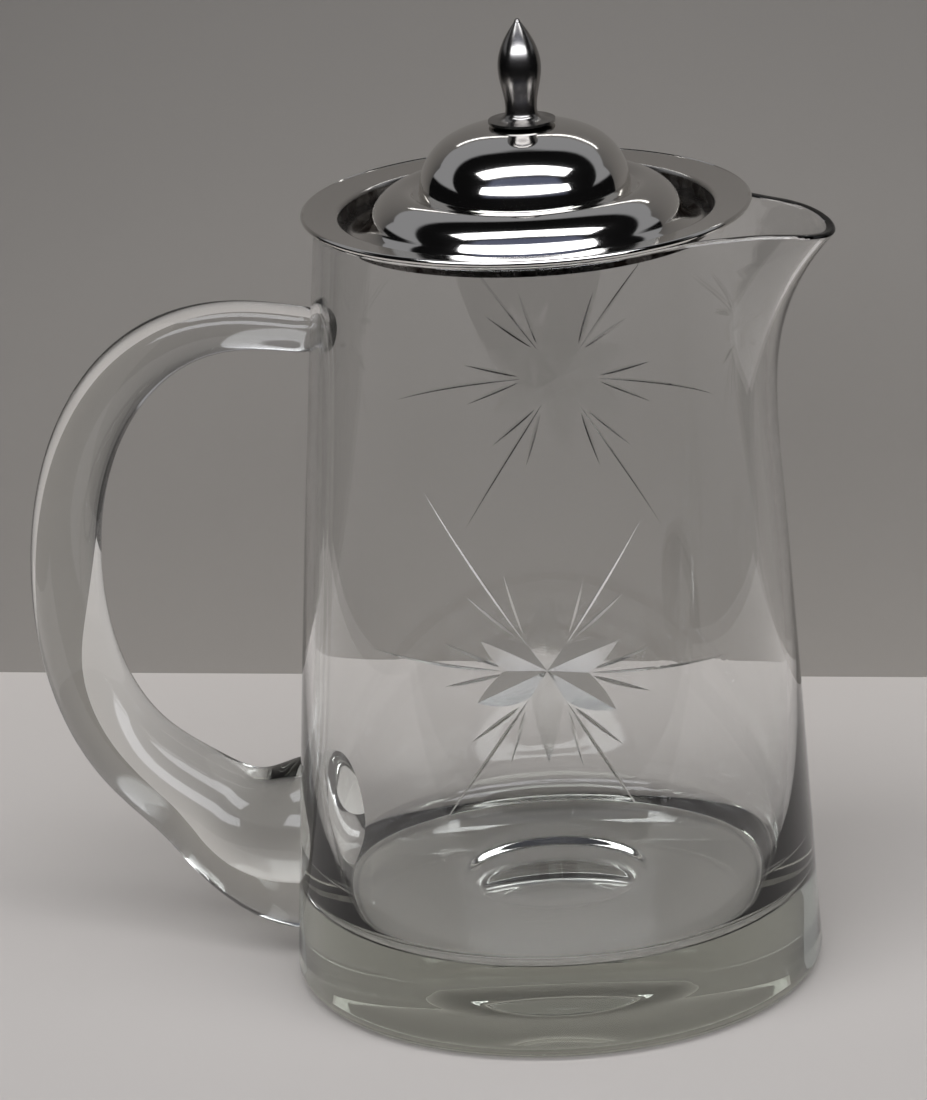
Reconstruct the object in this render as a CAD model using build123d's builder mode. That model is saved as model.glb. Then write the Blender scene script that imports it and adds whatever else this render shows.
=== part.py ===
from build123d import *
import os
from math import cos, exp, hypot, pi, radians, sin

# Lidded glass jug with a loose spun lid, in millimetres.
# The origin is the centre of the foot on the table, +Z is up and +X points to the pouring lip.

# Jug
FOOT_RADIUS = 45.0          # widest radius, at the foot
MOUTH_RADIUS = 34.9         # outer radius of the round part of the mouth
RIM_HEIGHT = 132.0          # top of the glass, where the lid rests
WALL = 1.8                  # thickness of the side above its thick foot
HEEL_WALL = 5.3             # how much thicker the side is at the floor
WALL_FADE = 13.0            # height in which that extra falls to about a third
SIDE_BOW = 0.45             # how far the side bows out of a straight taper
HEEL_ROUND = 3.0
BASE_THICKNESS = 14.0
INNER_HEEL_ROUND = 2.4
HOLLOW_RADIUS = 16.0        # polished hollow in the middle of the foot
HOLLOW_DEPTH = 1.4
RIM_ROUND = 0.5             # fire-polished edge of the rim

# Pouring lip, pulled out of the wall
LIP_REACH = 15.7            # how far the flare stands out at the rim
LIP_HEIGHT = 48.0           # how far below the rim the lip begins to flare
LIP_SHARPNESS = 3.4         # power of the flare's curve
LIP_SPREAD = 12.7           # half angle of the lip at the rim, in degrees
LIP_DROOP = 2.4             # how far the tip hangs below the rim
LIP_DROOP_LENGTH = 14.0     # length of rim that the droop is spread over
DRAW_START = 10.0           # height where the wall begins to lean towards the lip
DRAW_REACH = 3.2            # how far the wall is drawn out at the rim
DRAW_SPREAD = 48.0          # half angle of the drawn wall at its foot, in degrees
NARROWING = 1.5             # power of the height by which that angle narrows to the lip's

# Handle, a solid rod of glass: places on its line are measured out from the wall
TOP_JOINT_DROP = 21.7       # top joint below the rim
FOOT_JOINT_HEIGHT = 19.5
JOINT_SINK = 1.5            # how far the rod's line runs into the wall
REACH_OUT = 44.6            # furthest the rod stands out, midway between the joints
TOP_SHARE = 0.314           # how far out the other places are, as shares of that reach
TOP_RISE = 0.7              # above the top joint
SHOULDER_SHARE = 0.771
SHOULDER_DROP = 8.9         # below the top joint
ELBOW_SHARE = 0.704
ELBOW_RISE = 13.7           # above the foot joint
LOWER_SHARE = 0.46
LOWER_RISE = 5.9
NECK_SHARE = 0.22
NECK_RISE = 0.3

# Thickness of the rod at those places, from the top joint round to the foot pad
TOP_JOINT_ROD = 7.4
TOP_ROD = 8.4
SHOULDER_ROD = 10.8
GRIP_ROD = 12.4
ELBOW_ROD = 15.4
LOWER_ROD = 17.8
NECK_HEIGHT = 25.6
NECK_WIDTH = 19.5
PAD_HEIGHT = 32.6
PAD_WIDTH = 23.5

# Lid, spun from one sheet: heights are measured from the inner edge of its flange
SHEET = 0.7
MOUTH_CLEARANCE = 1.7       # between the lid's well and the mouth
SEAT_GAP = 0.2              # between the lid's flange and the rim
FLANGE_RADIUS = 37.0
FLANGE_DISH = 0.6           # how far the flange falls from its edge to the well
EDGE_BEAD = 0.5             # radius of the rounded edge of the flange
WELL_BEND = 0.9             # radius of the bend from the flange into the well
WELL_DEPTH = 2.9
TIER_FOOT_RADIUS = 29.3
TIER_SIDE_RADIUS = 25.7
TIER_TOP_RADIUS = 20.8
TIER_HEIGHT = 3.8
FOOT_FLARE_HEIGHT = 2.2
STEP_RADIUS = 18.4
STEP_DEPTH = 0.65
DOME_RADIUS = 17.1
DOME_TAPER = 0.4            # how much wider the dome is at its foot
DOME_SIDE = 2.45            # height of the upright part of the dome's side
DOME_HEIGHT = 10.65         # crown above the step
SHOULDER_RADIUS = 11.8      # where the crown turns over into the dome's shoulder
SHOULDER_FALL = 1.7
CROWN_FLAT = 4.5

# Finial and its fixing
FINIAL_SEAT_RADIUS = 3.2
FINIAL_FOOT_RADIUS = 5.2
FOOT_EDGE_BOTTOM = 0.45     # the foot's thin edge, above the crown
FOOT_EDGE_TOP = 0.9
# radius of the finial and height above the crown at its collar, neck, bud, taper and tip
FINIAL_TURNS = [(2.75, 1.7), (2.5, 3.5), (3.26, 9.9), (1.9, 14.9), (0.5, 17.1)]
STUD_RADIUS = 1.5
STUD_CLEARANCE = 0.2
STUD_CHAMFER = 0.3
STUD_END = 0.6              # stud left showing below the nut
WASHER_RADIUS = 4.0
WASHER_THICKNESS = 0.6
NUT_FLATS = 5.5
NUT_THICKNESS = 2.4

# How finely the curved forms are drawn
PLAIN_LEVELS = (0, 0.12, 0.26, 0.45, 0.7)         # heights of outlines, as shares of the way to the flare
FLARED_LEVELS = (0, 0.3, 0.52, 0.7, 0.85, 1)      # and as shares of the flare's own height
OUTLINE_POINTS = 32         # points of one outline of the jug
CROWDING_RATIO = 0.7        # how strongly those points crowd towards the lip
HANDLE_STEP = 11.0          # about how far apart the sections of the handle are
HOLD_RATIO = 0.5            # how long the handle's line keeps its direction at each joint
HIDDEN = 2.0                # how far a cutting form runs past what it cuts

os.makedirs("parts", exist_ok=True)

lip_start = RIM_HEIGHT - LIP_HEIGHT


def side_radius(height):
    """Outer radius of the jug away from the lip: a straight taper with a slight bow."""
    rise = height / RIM_HEIGHT
    return FOOT_RADIUS + (MOUTH_RADIUS - FOOT_RADIUS) * rise + SIDE_BOW * 4 * rise * (1 - rise)


def pull(height):
    """How far the wall stands out towards the lip: a steady draw, and a flare near the rim."""
    draw = max(0.0, (height - DRAW_START) / (RIM_HEIGHT - DRAW_START))
    flare = max(0.0, (height - lip_start) / LIP_HEIGHT)
    return DRAW_REACH * draw + LIP_REACH * flare**LIP_SHARPNESS


def wall(height):
    """Thickness of the side, which grows ever faster down to the floor."""
    return WALL + HEEL_WALL * exp((BASE_THICKNESS - height) / WALL_FADE)


def spread(height):
    """Half angle of the pulled part in radians, broad at the foot and narrow at the rim."""
    return radians(DRAW_SPREAD + (LIP_SPREAD - DRAW_SPREAD) * (height / RIM_HEIGHT) ** NARROWING)


def outline(height, inset):
    """Points of the jug's outline at a height, moved inwards along its normal by the inset.

    The radius is the side's radius plus the pull times a bell curve of the angle from the lip.
    The points crowd towards the lip, where the outline bends most.
    """
    points = []
    for step in range(OUTLINE_POINTS):
        turn = 2 * pi * step / OUTLINE_POINTS - pi
        angle = turn - CROWDING_RATIO * sin(turn)
        bell = pull(height) * exp(-((angle / spread(height)) ** 2) / 2)
        radius = side_radius(height) + bell
        slope = -bell * angle / spread(height) ** 2
        out_x = radius * cos(angle) + slope * sin(angle)
        out_y = radius * sin(angle) - slope * cos(angle)
        share = inset / hypot(radius, slope)
        points.append((radius * cos(angle) - share * out_x, radius * sin(angle) - share * out_y))
    return points


def levels(bottom, top):
    """Heights of the outlines between two heights, closer together where the lip flares."""
    plain = [bottom + (lip_start - bottom) * share for share in PLAIN_LEVELS]
    flared = [lip_start + (top - lip_start) * share for share in FLARED_LEVELS]
    return plain + flared


# The jug's outer form, with its heel
with BuildPart() as jug_form:
    for level in levels(0, RIM_HEIGHT):
        with BuildSketch(Plane.XY.offset(level)):
            with BuildLine():
                Spline(outline(level, 0), periodic=True)
            make_face()
    loft()
    fillet(jug_form.edges().group_by(Axis.Z)[0], HEEL_ROUND)

# The room inside the jug, with its rounded floor corner
with BuildPart() as jug_room:
    for level in levels(BASE_THICKNESS, RIM_HEIGHT):
        with BuildSketch(Plane.XY.offset(level)):
            with BuildLine():
                Spline(outline(level, wall(level)), periodic=True)
            make_face()
    loft()
    fillet(jug_room.edges().group_by(Axis.Z)[0], INNER_HEEL_ROUND)

# What the drooping lip lacks above its rim
lip_end = side_radius(RIM_HEIGHT) + pull(RIM_HEIGHT)
with BuildPart() as lip_clearing:
    with BuildSketch(Plane.XZ):
        with BuildLine():
            droop = TangentArc((lip_end - LIP_DROOP_LENGTH, RIM_HEIGHT),
                               (lip_end, RIM_HEIGHT - LIP_DROOP), tangent=(1, 0))
            Polyline(droop @ 1, (lip_end, RIM_HEIGHT + HIDDEN),
                     (lip_end - LIP_DROOP_LENGTH, RIM_HEIGHT + HIDDEN), droop @ 0)
        make_face()
    extrude(amount=FOOT_RADIUS, both=True)

with BuildPart() as glass_body:
    add(jug_form.part)
    add(jug_room.part, mode=Mode.SUBTRACT)
    add(lip_clearing.part, mode=Mode.SUBTRACT)
    rim_edges = glass_body.edges().filter_by(
        lambda edge: edge.bounding_box().min.Z > RIM_HEIGHT - LIP_DROOP - RIM_ROUND
    )
    fillet(rim_edges, RIM_ROUND)
    ball_radius = (HOLLOW_RADIUS**2 + HOLLOW_DEPTH**2) / (2 * HOLLOW_DEPTH)
    with Locations((0, 0, HOLLOW_DEPTH - ball_radius)):
        Sphere(ball_radius, mode=Mode.SUBTRACT)


def beside(out, height):
    """A place on the handle's line: so far out from the jug's side at a height, opposite the lip."""
    return (-side_radius(height) - out, height)


# Handle: a rod lofted along a line from the top joint round to its foot, through a section at
# each named place and others between them, and a pad that widens straight from its neck to the wall
top_joint = RIM_HEIGHT - TOP_JOINT_DROP
middle = (top_joint + FOOT_JOINT_HEIGHT) / 2
places = [
    (beside(-JOINT_SINK, top_joint), TOP_JOINT_ROD, TOP_JOINT_ROD),
    (beside(REACH_OUT * TOP_SHARE, top_joint + TOP_RISE), TOP_ROD, TOP_ROD),
    (beside(REACH_OUT * SHOULDER_SHARE, top_joint - SHOULDER_DROP), SHOULDER_ROD, SHOULDER_ROD),
    (beside(REACH_OUT, middle), GRIP_ROD, GRIP_ROD),
    (beside(REACH_OUT * ELBOW_SHARE, FOOT_JOINT_HEIGHT + ELBOW_RISE), ELBOW_ROD, ELBOW_ROD),
    (beside(REACH_OUT * LOWER_SHARE, FOOT_JOINT_HEIGHT + LOWER_RISE), LOWER_ROD, LOWER_ROD),
    (beside(REACH_OUT * NECK_SHARE, FOOT_JOINT_HEIGHT + NECK_RISE), NECK_HEIGHT, NECK_WIDTH),
    (beside(-JOINT_SINK, FOOT_JOINT_HEIGHT), PAD_HEIGHT, PAD_WIDTH),
]
with BuildPart() as handle:
    with BuildLine(Plane.XZ) as rod_line:
        Spline([place for place, height, width in places], tangents=[(-1, 0), (1, 0)],
               tangent_scalars=[HOLD_RATIO, HOLD_RATIO])
    rod = rod_line.edges()[0]
    marks = [(rod.param_at_point((x, 0, z)), height, width) for (x, z), height, width in places]
    sections = marks[:1]
    for start, end in zip(marks, marks[1:]):
        steps = max(1, round((end[0] - start[0]) * rod.length / HANDLE_STEP))
        for step in range(1, steps + 1):
            sections.append([a + (b - a) * step / steps for a, b in zip(start, end)])
    for stretch, straight in ((sections[:-1], False), (sections[-2:], True)):
        for share, height, width in stretch:
            with BuildSketch(Plane(origin=rod @ share, x_dir=(0, 1, 0), z_dir=rod % share)):
                Ellipse(width / 2, height / 2)
        loft(ruled=straight)
    add(jug_form.part, mode=Mode.SUBTRACT)

# Lid shell: the upper skin of the sheet, drawn from the crown outwards, then its thickness
flange_level = RIM_HEIGHT + SEAT_GAP + SHEET
step_level = flange_level + TIER_HEIGHT - STEP_DEPTH
crown_level = step_level + DOME_HEIGHT
well_floor = flange_level - WELL_DEPTH
well_radius = MOUTH_RADIUS - WALL - MOUTH_CLEARANCE - SHEET
stud_hole = STUD_RADIUS + STUD_CLEARANCE
with BuildPart() as lid_shell:
    with BuildSketch(Plane.XZ):
        with BuildLine():
            crown = Line((stud_hole, crown_level), (CROWN_FLAT, crown_level))
            turnover = TangentArc(crown @ 1, (SHOULDER_RADIUS, crown_level - SHOULDER_FALL),
                                  tangent=crown % 1)
            shoulder = TangentArc(turnover @ 1, (DOME_RADIUS, step_level + DOME_SIDE),
                                  tangent=turnover % 1)
            side = Line(shoulder @ 1, (DOME_RADIUS + DOME_TAPER, step_level))
            step = Line(side @ 1, (STEP_RADIUS, step_level))
            tier_top = TangentArc(step @ 1, (TIER_TOP_RADIUS, step_level + STEP_DEPTH), tangent=(1, 1))
            tier_side = TangentArc(tier_top @ 1, (TIER_SIDE_RADIUS, well_floor + FOOT_FLARE_HEIGHT),
                                   tangent=tier_top % 1)
            flare = TangentArc(tier_side @ 1, (TIER_FOOT_RADIUS, well_floor), tangent=tier_side % 1)
            floor = Line(flare @ 1, (well_radius, well_floor))
            wall = Line(floor @ 1, (well_radius, flange_level - WELL_BEND))
            bend = TangentArc(wall @ 1, (well_radius + WELL_BEND, flange_level), tangent=wall % 1)
            Line(bend @ 1, (FLANGE_RADIUS - EDGE_BEAD, flange_level + FLANGE_DISH))
            offset(amount=SHEET, side=Side.RIGHT)
        make_face()
        with Locations((FLANGE_RADIUS - EDGE_BEAD, flange_level + FLANGE_DISH - SHEET / 2)):
            Circle(EDGE_BEAD)
    revolve(axis=Axis.Z)

# Finial, turned in one piece with the stud that runs down through the crown
with BuildPart() as finial:
    with BuildSketch(Plane.XZ):
        with BuildLine():
            foot = Polyline((0, crown_level), (FINIAL_SEAT_RADIUS, crown_level),
                            (FINIAL_FOOT_RADIUS, crown_level + FOOT_EDGE_BOTTOM),
                            (FINIAL_FOOT_RADIUS, crown_level + FOOT_EDGE_TOP))
            bud = Spline(foot @ 1, [(radius, crown_level + rise) for radius, rise in FINIAL_TURNS])
            Polyline(bud @ 1, (0, crown_level + FINIAL_TURNS[-1][1]), (0, crown_level))
        make_face()
    revolve(axis=Axis.Z)
    with Locations((0, 0, crown_level + FINIAL_TURNS[-1][1])):
        Sphere(FINIAL_TURNS[-1][0])
    stud_length = SHEET + WASHER_THICKNESS + NUT_THICKNESS + STUD_END
    with BuildSketch(Plane.XY.offset(crown_level)):
        Circle(STUD_RADIUS)
    extrude(amount=-stud_length)
    chamfer(finial.edges().group_by(Axis.Z)[0], STUD_CHAMFER)

# Washer and nut inside the dome
washer_top = crown_level - SHEET
with BuildPart() as finial_washer:
    with BuildSketch(Plane.XY.offset(washer_top)):
        Circle(WASHER_RADIUS)
        Circle(stud_hole, mode=Mode.SUBTRACT)
    extrude(amount=-WASHER_THICKNESS)

with BuildPart() as finial_nut:
    with BuildSketch(Plane.XY.offset(washer_top - WASHER_THICKNESS)):
        RegularPolygon(NUT_FLATS / 2, 6, major_radius=False)
        Circle(STUD_RADIUS, mode=Mode.SUBTRACT)
    extrude(amount=-NUT_THICKNESS)

pieces = {
    "glass_body": glass_body,
    "handle": handle,
    "lid_shell": lid_shell,
    "finial": finial,
    "finial_washer": finial_washer,
    "finial_nut": finial_nut,
}
for name, piece in pieces.items():
    piece.part.label = name
    export_step(piece.part, f"parts/{name}.step")
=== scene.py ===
"""Looks of a lidded glass cream pitcher, built around its packed CAD model.

The glass jug with its handle, the spun lid and the turned finial are worked out here as smooth
surfaces with numpy, in metres and in the frame of the CAD model. Small hidden fixings stay CAD nodes.
"""

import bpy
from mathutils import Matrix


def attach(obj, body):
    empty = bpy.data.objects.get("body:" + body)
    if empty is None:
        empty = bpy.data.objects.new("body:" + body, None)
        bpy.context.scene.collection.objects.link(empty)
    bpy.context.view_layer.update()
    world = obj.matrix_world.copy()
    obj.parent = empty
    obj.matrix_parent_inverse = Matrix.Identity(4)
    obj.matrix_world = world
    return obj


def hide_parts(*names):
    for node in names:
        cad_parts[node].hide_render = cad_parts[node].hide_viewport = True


bl_info = {
    "name": "Lidded Cream Pitcher",
    "version": (1, 0, 0),
    "blender": (4, 5, 0),
    "location": "View3D > Sidebar > Pitcher",
    "description": "Glass jug with cut stars, spun lid, turned finial and a plain studio",
    "category": "Add Mesh",
}

import bpy
import numpy as np
from bpy.props import FloatProperty, FloatVectorProperty, IntProperty, PointerProperty
from mathutils import Matrix, Vector
from mathutils.geometry import delaunay_2d_cdt

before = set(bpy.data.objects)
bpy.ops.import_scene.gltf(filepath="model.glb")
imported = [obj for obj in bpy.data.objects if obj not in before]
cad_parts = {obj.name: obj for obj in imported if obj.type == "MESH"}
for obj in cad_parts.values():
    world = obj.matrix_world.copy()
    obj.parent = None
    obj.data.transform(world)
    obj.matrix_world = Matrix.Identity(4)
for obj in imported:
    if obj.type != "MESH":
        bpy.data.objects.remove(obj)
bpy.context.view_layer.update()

MM = 0.001
VIEW_TURN = np.radians(16)  # how far the camera stands round from the jug's side
CAMERA_PLACE = np.array([0, -19.0455, 7.94076]) * 0.045  # across, away and up from the foot, in metres
CAMERA_YAW, CAMERA_PITCH, CAMERA_ROLL = -0.0152612, 0.3190856, -0.0515195
CAMERA_FILM = 36.0  # mm
CAMERA_REACH = 5400 / 1100  # focal length over the picture's height
UNDER_FOOT = -0.04 * MM  # level of the table's top


# Sizes and colours that a user would change


def length(default, note):
    """A length property, its default in millimetres."""
    return FloatProperty(default=default * MM, unit="LENGTH", precision=5, description=note)


def number(default, note):
    """A plain number property."""
    return FloatProperty(default=default, description=note)


def colour(default, note):
    """A colour property."""
    return FloatVectorProperty(default=default, subtype="COLOR", size=3, min=0, max=1, description=note)


class JugSizes(bpy.types.PropertyGroup):
    """The tapered jug and its pulled lip."""

    foot_radius: length(45, "Widest outer radius, at the foot")
    mouth_radius: length(34.9, "Outer radius of the round part of the mouth")
    rim_height: length(132, "Top of the glass")
    wall: length(1.8, "Thickness of the side above its thick foot")
    heel_wall: length(4.2, "How much thicker the side is at the floor")
    wall_fade: length(13, "Height in which that extra falls to about a third")
    side_bow: length(0.45, "How far the side bows out of a straight taper")
    heel_round: length(3, "Radius of the outer edge of the foot")
    base_thickness: length(14, "Glass under the room")
    inner_heel_round: length(3.6, "Radius of the floor's corner inside")
    dish_radius: length(15.4, "Radius of the shallow round sinking in the floor")
    dish_depth: length(0.7, "Depth of that sinking")
    dish_edge: length(1, "Half width of its sloping edge")
    hollow_radius: length(16, "Radius of the polished hollow under the foot")
    hollow_depth: length(1.4, "Depth of that hollow")
    rim_round: length(0.6, "Radius of the fire-polished edges of the rim")
    lip_height: length(48, "How far below the rim the lip begins to flare")
    lip_reach: length(15.7, "How far the flare stands out at the rim")
    lip_sharpness: number(3.4, "Power of the flare")
    lip_spread: number(12.7, "Half angle of the lip, degrees")
    lip_droop: length(2.4, "How far the tip hangs below the rim")
    droop_length: length(14, "Length of rim that the droop is spread over")
    draw_start: length(10, "Height where the wall begins to lean to the lip")
    draw_reach: length(3.2, "How far the wall is drawn out at the rim")
    draw_spread: number(48.0, "Half angle of the drawn wall")
    columns: IntProperty(default=328, min=120, description="Points round the jug")


class StarCuts(bpy.types.PropertyGroup):
    """The stars cut into the wall, one at the front and one at the back."""

    front_angle: number(-74.05, "Azimuth of the front star")
    front_height: length(66.2, "Height of the front star's centre")
    back_angle: number(99.3, "Azimuth of the back star")
    back_height: length(92.4, "Height of the back star's centre")
    petal_width: length(3.1, "Half width of a petal at its widest")
    petal_middle: length(4, "Where along a petal it is widest")
    petal_slope: number(0.36, "Depth over width, at the front")
    back_slope: number(0.12, "The same at the back")
    ray_width: length(0.34, "Half width of a ray at its widest")
    ray_slope: number(0.7, "Depth over width of a ray")


class HandleSizes(bpy.types.PropertyGroup):
    """The solid loop handle, fused to the wall at both ends."""

    top_joint_drop: length(21.7, "Top joint below the rim")
    foot_joint_height: length(19.5, "Height of the lower joint")
    reach_out: length(44.6, "Furthest the rod stands out of the wall")
    grip: length(12.4, "Thickness of the rod in the middle")
    pad_height: length(32.6, "Height of the pad at the wall")
    pad_width: length(23.5, "Width of the pad at the wall")
    top_contact: length(4.6, "Width of the patch where the rod's top end meets the wall")
    meniscus: length(0.8, "How far the glass creeps out round the foot joint")


class LidSizes(bpy.types.PropertyGroup):
    """The spun lid: heights from the inner edge of its flange."""

    sheet: length(0.7, "Thickness of the sheet")
    flange_radius: length(37, "Outer radius of the flange")
    flange_dish: length(0.6, "How far the flange falls from edge to well")
    edge_bead: length(0.5, "Radius of the rounded edge")
    well_radius: length(30.7, "Inner radius of the well")
    well_bend: length(0.9, "Radius of the bend into the well")
    well_depth: length(2.9, "Depth of the well")
    tier_foot: length(29.3, "Radius where the lower tier rises")
    tier_side: length(25.7, "Radius of the tier's side")
    tier_top: length(20.8, "Radius of the tier's top")
    tier_height: length(3.8, "Top of the tier")
    foot_flare: length(2.2, "Height of the flare at the tier's foot")
    step_radius: length(18.4, "Outer radius of the step round the dome")
    step_depth: length(0.65, "Depth of that step")
    dome_radius: length(17.1, "Radius of the dome")
    dome_taper: length(0.4, "How much wider the dome is at its foot")
    dome_side: length(2.45, "Height of the dome's upright side")
    dome_height: length(10.65, "Crown above the step")
    shoulder_radius: length(11.8, "Where the crown turns over")
    shoulder_fall: length(1.7, "Fall of the crown to there")
    crown_flat: length(4.5, "Flat under the finial")
    seat_gap: length(0.2, "Between the flange and the rim")
    stud_hole: length(1.7, "Radius of the hole in the crown")


class Finishes(bpy.types.PropertyGroup):
    """Colours of the glass and the metals."""

    glass: colour((1.0, 1.0, 1.0), "Tint of the glass at each surface")
    cut: colour((0.93, 0.94, 0.93), "Tint of the cuts")
    silver: colour((0.80, 0.78, 0.75), "Silver plate")
    # Its dark colour serves both the lid's tarnish and the finial's painted shade.
    tarnish: colour((0.022, 0.015, 0.012), "Silver that no cloth reaches")
    fixing: colour((0.42, 0.42, 0.43), "Washer and nut")
    # Painted shade: how far the whole finial is darkened and dulled, standing in for the dark room it
    # mirrors.
    finial_painted_shade: number(0.7, "How far the finial is tarnished, from zero to one")


class StudioSettings(bpy.types.PropertyGroup):
    """Floor, backdrop and light."""

    table: colour((0.578, 0.542, 0.503), "Table top")
    table_side: length(300, "From the jug's axis to the table's sides")
    table_front: length(150, "From the jug's axis to the table's near edge")
    backdrop: colour((0.268, 0.250, 0.225), "Wall behind the table")
    backdrop_distance: length(143.7, "From the jug's axis to the wall")
    backdrop_slant: number(-0.154, "How far the wall recedes along its length, as a ratio")
    backdrop_left: length(-266, "Left end of the wall")
    backdrop_right: length(266, "Right end of the wall")
    backdrop_height: length(262, "Top of the wall")
    glint_height: length(241, "Lower edge of the bright strip high on the wall")
    glint_width: length(6, "Height of that strip")
    glint_left: length(-80, "Left end of the strip")
    glint_right: length(120, "Right end of the strip")
    glint: number(3.0, "Radiance of the strip")
    sky: number(0.004, "Radiance of the dim room")
    strips: number(4.6, "Radiance of the lamp panels")
    glow: number(0.12, "Radiance between the lamp panels")
    ceiling: number(0.27, "Radiance of the pale ceiling")


# Curves and profiles, in metres


def cubic_between(at, values, slopes, where):
    """Values along the cubics that have given values and slopes at given places."""
    span = np.clip(np.searchsorted(at, where, side="right") - 1, 0, len(at) - 2)
    h = (at[span + 1] - at[span]).reshape(-1, *[1] * (values.ndim - 1))
    t = (where - at[span]).reshape(h.shape) / h
    return ((2 * t**3 - 3 * t**2 + 1) * values[span] + (t**3 - 2 * t**2 + t) * h * slopes[span]
            + (3 * t**2 - 2 * t**3) * values[span + 1] + (t**3 - t**2) * h * slopes[span + 1])


def cubic_line(knots, count, start=None, end=None):
    """Points on the smooth curve through the knots, evenly shared out by chord length.

    Each coordinate is the cubic spline of the chord length whose first and second derivatives
    agree at the knots. Its end slopes are given, or its second derivative is zero there.
    Also returns the parameter of each point, in chord lengths, and the knots' own.
    """
    knots = np.asarray(knots, float)
    gap = np.linalg.norm(np.diff(knots, axis=0), axis=1)
    at = np.concatenate([[0.0], np.cumsum(gap)])
    rise = np.diff(knots, axis=0) / gap[:, None]
    size = len(knots)
    system = np.zeros((size, size))
    right = np.zeros_like(knots)
    inner = np.arange(1, size - 1)
    system[inner, inner - 1] = gap[1:]
    system[inner, inner] = 2 * (gap[:-1] + gap[1:])
    system[inner, inner + 1] = gap[:-1]
    right[inner] = 3 * (gap[1:, None] * rise[:-1] + gap[:-1, None] * rise[1:])
    for row, near, slope, chord in ((0, 1, start, rise[0]), (-1, -2, end, rise[-1])):
        system[row, row] = 1.0 if slope is not None else 2.0
        system[row, near] = 0.0 if slope is not None else 1.0
        right[row] = slope if slope is not None else 3 * chord
    where = np.linspace(0, at[-1], count)
    return cubic_between(at, knots, np.linalg.solve(system, right), where), where, at


def easy_line(at, values, where):
    """Values between those at given places, along cubics that never overshoot them.

    A slope at a place is the harmonic mean of the slopes on both sides, or zero where they differ
    in sign.
    """
    rise = np.diff(values) / np.diff(at)
    both, product = rise[:-1] + rise[1:], rise[:-1] * rise[1:]
    mean = np.where(product > 0, 2 * product / np.where(both == 0, 1, both), 0)
    return cubic_between(at, values, np.concatenate([rise[:1], mean, rise[-1:]]), where)


def arc_from(start, direction, end, count):
    """Points of the arc that leaves start in a direction and reaches end, without the start.

    The turn of the arc is twice the angle from the direction to the chord, and its point at a
    share s of the turn lies at chord * sin(s * half turn) / sin(half turn) along the chord's
    direction turned back by (1 - s) * half turn.
    """
    start, end, direction = (np.asarray(v, float) for v in (start, end, direction))
    chord = end - start
    half = np.arctan2(direction[0] * chord[1] - direction[1] * chord[0], direction @ chord)
    share = np.linspace(0, 1, count + 1)[1:]
    turn = (share - 1) * half
    reach = np.sin(share * half) / np.sin(half) if abs(half) > 1e-9 else share
    turned = np.stack([np.cos(turn) * chord[0] - np.sin(turn) * chord[1],
                       np.sin(turn) * chord[0] + np.cos(turn) * chord[1]], 1)
    return start + reach[:, None] * turned


def heading(points):
    """Unit direction of the last run of a row of points."""
    run = points[-1] - points[-2]
    return run / np.linalg.norm(run)


def offset_line(points, amount):
    """A row of points moved by an amount to the right of the way it runs."""
    run = np.gradient(points, axis=0)
    run /= np.linalg.norm(run, axis=1)[:, None]
    return points + amount * np.stack([run[:, 1], -run[:, 0]], 1)


# Meshes


def make_mesh(name, points, faces, smooth=True):
    """A mesh object from points and a list of face arrays, each with its own number of corners."""
    data = bpy.data.meshes.new(name)
    corners = np.concatenate([f.ravel() for f in faces])
    sizes = np.concatenate([np.full(len(f), f.shape[1]) for f in faces])
    data.vertices.add(len(points))
    data.vertices.foreach_set("co", np.asarray(points, np.float32).ravel())
    data.loops.add(len(corners))
    data.loops.foreach_set("vertex_index", corners.astype(np.int32))
    data.polygons.add(len(sizes))
    data.polygons.foreach_set("loop_start", (np.cumsum(sizes) - sizes).astype(np.int32))
    data.update(calc_edges=True)
    data.validate()
    data.polygons.foreach_set("use_smooth", np.full(len(data.polygons), smooth))
    piece = bpy.data.objects.new(name, data)
    bpy.context.scene.collection.objects.link(piece)
    return piece


def ring_faces(rows, columns, first=0):
    """Quads between the rows of a grid that closes on itself sideways, rows running upwards
    on an outside wall seen from outside with the columns running to the right."""
    row, column = np.meshgrid(np.arange(rows - 1), np.arange(columns), indexing="ij")
    right = (column + 1) % columns
    return first + np.stack([row * columns + column, row * columns + right,
                             (row + 1) * columns + right, (row + 1) * columns + column], -1).reshape(-1, 4)


def pole_faces(columns, last, low, high):
    """Triangles from a grid's first row to the point low, and from its last row to the point high."""
    column = np.arange(columns)
    right = (column + 1) % columns
    return [np.stack([np.full(columns, low), right, column], 1),
            np.stack([last + column, last + right, np.full(columns, high)], 1)]


def revolve(profile, columns):
    """Points and faces of a closed profile (radius, height) turned about Z.

    The point at row r and column c is (radius cos a, radius sin a, height), a = 2 pi c / columns.
    The profile runs so that the solid lies to its left. Rows on the axis become one point.
    """
    turn = 2 * np.pi * np.arange(columns) / columns
    on_axis = profile[:, 0] < 1e-9
    body = profile[~on_axis]
    points = np.stack([body[:, :1] * np.cos(turn), body[:, :1] * np.sin(turn),
                       np.repeat(body[:, 1:], columns, 1)], -1).reshape(-1, 3)
    base = len(points)
    if not on_axis.any():
        return points, [ring_faces(len(body) + 1, columns) % base]
    points = np.vstack([points, [0, 0, profile[0, 1]], [0, 0, profile[-1, 1]]])
    return points, [ring_faces(len(body), columns), *pole_faces(columns, base - columns, base, base + 1)]


def crease(piece, degrees):
    """Marks the edges that turn by more than an angle as sharp."""
    piece.data.set_sharp_from_angle(angle=np.radians(degrees))


# Shader nodes


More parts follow.
